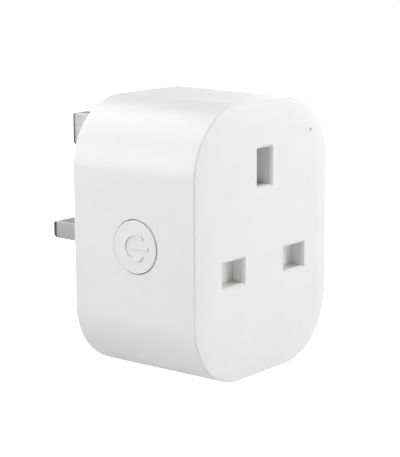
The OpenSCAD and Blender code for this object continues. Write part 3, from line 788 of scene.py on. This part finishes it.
MATERIALS = {
    "housing_plastic": plastic("housing_white", WHITE, 0.012, (0.36, 0.46), subsurface=0.12),
    "button_plastic": plastic("button_white", WHITE, 0.012, (0.36, 0.46), subsurface=0.12),
    "cover_plastic": plastic("cover_white", shade(WHITE, 0.985), 0.015, (0.42, 0.54),
                             grain=1900.0, grain_depth=9e-6),
    "shutter_plastic": plastic("shutter_acetal", (0.74, 0.74, 0.73), 0.02, (0.3, 0.42)),
    "carrier_plastic": plastic("carrier_nylon", (0.62, 0.62, 0.60), 0.04, (0.42, 0.55)),
    "pin_metal": metal("pin_nickel", (0.60, 0.60, 0.60), 0.03, (0.13, 0.2)),
    "sleeve_plastic": plastic("sleeve_black", (0.022, 0.022, 0.024), 0.12, (0.4, 0.55)),
    "screw_steel": metal("screw_zinc", (0.45, 0.45, 0.46), 0.08, (0.25, 0.42),
                         (500.0, 500.0, 500.0)),
    "spring_steel": metal("spring_steel", (0.55, 0.55, 0.56), 0.05, (0.2, 0.3)),
    "contact_copper": metal("contact_copper", (0.78, 0.47, 0.28), 0.07, (0.25, 0.4),
                            tarnish=0.12),
    "relay_copper": metal("relay_copper", (0.78, 0.52, 0.33), 0.06, (0.25, 0.4), tarnish=0.08),
    "board_laminate": laminate("board_green", (0.012, 0.085, 0.035)),
    "black_plastic": plastic("frame_black", (0.02, 0.02, 0.022), 0.15, (0.4, 0.6)),
    "plunger_plastic": plastic("plunger_black", (0.03, 0.03, 0.03), 0.12, (0.3, 0.45)),
    "shield_metal": metal("shield_tin", (0.66, 0.66, 0.67), 0.05, (0.28, 0.42)),
    "clear_plastic": frosted("pipe_frosted", (0.82, 0.83, 0.84)),
    "led_epoxy": plastic("led_epoxy", (0.80, 0.74, 0.35), 0.06, (0.2, 0.3), subsurface=0.2),
    "relay_case_plastic": plastic("relay_blue", (0.02, 0.09, 0.42), 0.08, (0.25, 0.4),
                                  coat=0.3),
    "bobbin_plastic": plastic("bobbin_natural", (0.70, 0.68, 0.60), 0.04, (0.4, 0.5)),
    "winding_wire": winding("winding_copper", (0.42, 0.15, 0.05)),
    "relay_iron": metal("relay_iron", (0.52, 0.51, 0.49), 0.06, (0.3, 0.45), tarnish=0.05),
    "film_capacitor_case": plastic("film_yellow", (0.62, 0.36, 0.04), 0.05, (0.35, 0.5)),
    "capacitor_sleeve": plastic("sleeve_blue", (0.012, 0.014, 0.05), 0.1, (0.2, 0.35), coat=0.5),
    "varistor_coat": plastic("varistor_blue", (0.03, 0.10, 0.28), 0.1, (0.4, 0.6),
                             grain=900.0, grain_depth=3e-5),
    "ferrite": plastic("ferrite_grey", (0.03, 0.03, 0.034), 0.2, (0.55, 0.75), grain=1500.0,
                       grain_depth=2e-5),
    "resistor_coat": plastic("resistor_teal", (0.09, 0.22, 0.22), 0.08, (0.5, 0.7),
                             grain=1300.0, grain_depth=2e-5),
    "chip_epoxy": plastic("chip_black", (0.02, 0.02, 0.02), 0.15, (0.45, 0.65), grain=3000.0,
                          grain_depth=1e-5),
    "shunt_metal": metal("shunt_alloy", (0.48, 0.46, 0.43), 0.06, (0.3, 0.45), tarnish=0.06),
}


def dress(pieces):
    """Gives every node and piece its slot's material, and the CAD nodes that show soft edges."""
    slots = {row["node"]: row["material_slot"] for row in frame["record"]["subparts"]}
    for node, piece in pieces.items():
        set_material(piece, slots[node])
    for node, obj in frame["nodes"].items():
        set_material(obj, slots[node])
        if node in pieces:
            continue
        bevel = obj.modifiers.new("soft_edges", "BEVEL")
        bevel.width = 0.00012
        bevel.segments = 2
        bevel.limit_method = "ANGLE"
        bevel.angle_limit = math.radians(40)
        bevel.harden_normals = False


def set_material(obj, slot):
    """Puts the slot's material on an object in place of what it has."""
    obj.data.materials.clear()
    obj.data.materials.append(MATERIALS[slot])


# ---------------------------------------------------------------- stage

def make_floor():
    """Pale floor just under the object."""
    half, count = 3.0, 24
    gap = 0.06
    low = (housing_low.z - gap) * MM
    verts, faces = [], []
    for i in range(count + 1):
        for j in range(count + 1):
            verts.append((half * (2 * i / count - 1), half * (2 * j / count - 1), low))
    for i in range(count):
        for j in range(count):
            a = i * (count + 1) + j
            faces.append((a, a + count + 1, a + count + 2, a + 1))
    mesh = bpy.data.meshes.new("floor")
    mesh.from_pydata(verts, [], faces)
    floor = bpy.data.objects.new("floor", mesh)
    bpy.context.scene.collection.objects.link(floor)
    n = Nodes("floor_white")
    n.link(n.ramp(n.noise(3.0), ((0.3, shade(FLOOR_COLOR, 0.98)), (0.7, FLOOR_COLOR))),
           n.shader.inputs["Base Color"])
    n.shader.inputs["Roughness"].default_value = 0.8
    n.shader.inputs["Specular IOR Level"].default_value = 0.1
    n.shader.inputs["Emission Color"].default_value = (1, 1, 1, 1)
    n.link(by_ray(n.tree, FLOOR_SEEN, FLOOR_GLOW, FLOOR_GLOW),
           n.shader.inputs["Emission Strength"])
    mirror_floor(n)
    floor.data.materials.append(n.material)


def mirror_floor(n):
    """Gives glossy rays a floor of their own: pale, with a painted shadow behind the object that
    only reflections show.
    """
    patch = n.tree.nodes.new("ShaderNodeTexGradient")
    patch.gradient_type = "SPHERICAL"
    placed = n.tree.nodes.new("ShaderNodeMapping")
    placed.vector_type = "TEXTURE"
    placed.inputs["Location"].default_value = (*PAINTED_SHADOW_CENTER, housing_low.z * MM)
    placed.inputs["Scale"].default_value = (*PAINTED_SHADOW_R, 1.0)
    n.link(n.coords, placed.inputs["Vector"])
    n.link(placed.outputs[0], patch.inputs["Vector"])
    mirrored = n.tree.nodes.new("ShaderNodeEmission")
    # Painted shadow: the floor behind the object is darker for glossy rays only, so the pins
    # reflect it
    n.link(n.ramp(patch.outputs["Fac"], PAINTED_SHADOW_STOPS), mirrored.inputs["Color"])
    path = n.tree.nodes.new("ShaderNodeLightPath")
    choice = n.tree.nodes.new("ShaderNodeMixShader")
    n.link(path.outputs["Is Glossy Ray"], choice.inputs["Fac"])
    n.link(n.shader.outputs[0], choice.inputs[1])
    n.link(mirrored.outputs[0], choice.inputs[2])
    n.link(choice.outputs[0], n.output.inputs[0])


def by_ray(tree, seen, mirrored, unseen):
    """A value for what the camera sees directly, one for gloss and one for other light."""
    path = tree.nodes.new("ShaderNodeLightPath")
    value = unseen
    for ray, level in (("Is Glossy Ray", mirrored), ("Is Camera Ray", seen)):
        choice = tree.nodes.new("ShaderNodeMix")
        choice.inputs["B"].default_value = level
        if value is unseen:
            choice.inputs["A"].default_value = unseen
        else:
            tree.links.new(value, choice.inputs["A"])
        tree.links.new(path.outputs[ray], choice.inputs["Factor"])
        value = choice.outputs["Result"]
    return value


def area_light(name, direction, distance, size, power):
    """Square soft light that faces the object from a direction."""
    light = bpy.data.lights.new(name, "AREA")
    light.shape = "SQUARE"
    light.size = size
    light.energy = power
    obj = bpy.data.objects.new(name, light)
    bpy.context.scene.collection.objects.link(obj)
    toward = Vector(direction).normalized()
    obj.location = toward * distance + Vector((0, FACE_Y / 2 * MM, 0))
    obj.rotation_euler = toward.to_track_quat("Z", "Y").to_euler()
    return obj


FLOOR_COLOR = (0.5, 0.5, 0.5)
FLOOR_GLOW = 0.23
FLOOR_SEEN = 1.0
# The painted shadow's centre and half sizes along X and Y in metres, and its shades; only
# reflections show it
PAINTED_SHADOW_CENTER = (0.0, 0.25)
PAINTED_SHADOW_R = (0.16, 0.3)
PAINTED_SHADOW_STOPS = ((0.1, (0.84, 0.84, 0.84)), (0.35, (0.14, 0.14, 0.14)))
WORLD_MIRRORED = 0.5
LIGHT_DISTANCE = 0.9
LIGHT_SIZE = 0.5
# Name, azimuth and elevation in degrees seen from the front, power in watts
LIGHTS = (
    ("left_rear_low", -130, 10, 3.63),
    ("left_rear", -130, 45, 1.09),
    ("left_low", -90, 10, 0.30),
    ("left_high", -90, 60, 3.17),
    ("front_left", -50, 15, 0.21),
    ("front", 0, 0, 1.82),
    ("right_front", 45, 20, 6.25),
    ("right_low", 70, 0, 2.77),
    ("right_rear", 110, 20, 1.40),
    ("rear_high", 180, 40, 3.45),
)
# Lights left out of reflections, which would burn out the tops of the pins
UNMIRRORED = ("right_front",)


def make_stage():
    """Floor, soft lights and a white surround."""
    make_floor()
    for name, azimuth, elevation, power in LIGHTS:
        a, e = math.radians(azimuth), math.radians(elevation)
        toward = (math.sin(a) * math.cos(e), -math.cos(a) * math.cos(e), math.sin(e))
        light = area_light(name, toward, LIGHT_DISTANCE, LIGHT_SIZE, power)
        light.visible_glossy = name not in UNMIRRORED
    scene = bpy.context.scene
    scene.world = bpy.data.worlds.new("studio")
    scene.world.use_nodes = True
    background = scene.world.node_tree.nodes["Background"]
    background.inputs["Color"].default_value = (1, 1, 1, 1)
    tree = scene.world.node_tree
    tree.links.new(by_ray(tree, 1.0, WORLD_MIRRORED, 0.0), background.inputs["Strength"])
    scene.view_settings.view_transform = "Standard"


def make_camera():
    """Camera fitted to the photograph's outline."""
    azimuth, elevation, roll = [math.radians(a) for a in (-50.65, 11.5, -0.16)]
    distance = 0.340
    back = Vector((math.sin(azimuth) * math.cos(elevation),
                   -math.cos(azimuth) * math.cos(elevation),
                   math.sin(elevation)))
    right = (-back).cross(Vector((0, 0, 1))).normalized()
    up = back.cross(right)
    turned_right = right * math.cos(roll) + up * math.sin(roll)
    turned_up = up * math.cos(roll) - right * math.sin(roll)
    data = bpy.data.cameras.new("camera")
    data.sensor_width = 36.0
    data.sensor_fit = "AUTO"
    data.lens = 116.7
    data.shift_x = -0.0097
    data.shift_y = 0.0013
    data.clip_start = 0.01
    data.clip_end = 20.0
    camera = bpy.data.objects.new("camera", data)
    bpy.context.scene.collection.objects.link(camera)
    basis = Matrix((turned_right, turned_up, back)).transposed().to_4x4()
    target = Vector((0, -DEPTH / 2 * MM, 0))
    camera.matrix_world = Matrix.Translation(target + back * distance) @ basis
    bpy.context.scene.camera = camera


# ---------------------------------------------------------------- assembly

pieces = {
    "front_housing": make_housing(),
    "power_button": make_button(),
    "rear_cover": make_cover(),
    "line_pin": make_pin("blade_line", "line_pin", "line_pin_sleeve", SLEEVE_END,
                         LIVE_TAIL, LIVE_FLANGE),
    "neutral_pin": make_pin("blade_neutral", "neutral_pin", "neutral_pin_sleeve", SLEEVE_END,
                            LIVE_TAIL, LIVE_FLANGE),
    "earth_pin": make_pin("blade_earth", "earth_pin", "earth_pin", 0.0,
                          EARTH_TAIL, EARTH_FLANGE),
    "line_pin_sleeve": make_sleeve("sleeve_line", "line_pin_sleeve"),
    "neutral_pin_sleeve": make_sleeve("sleeve_neutral", "neutral_pin_sleeve"),
    "cover_screws": make_screws(),
    "shutter_spring": make_spring(),
}
dress(pieces)
make_stage()
make_camera()
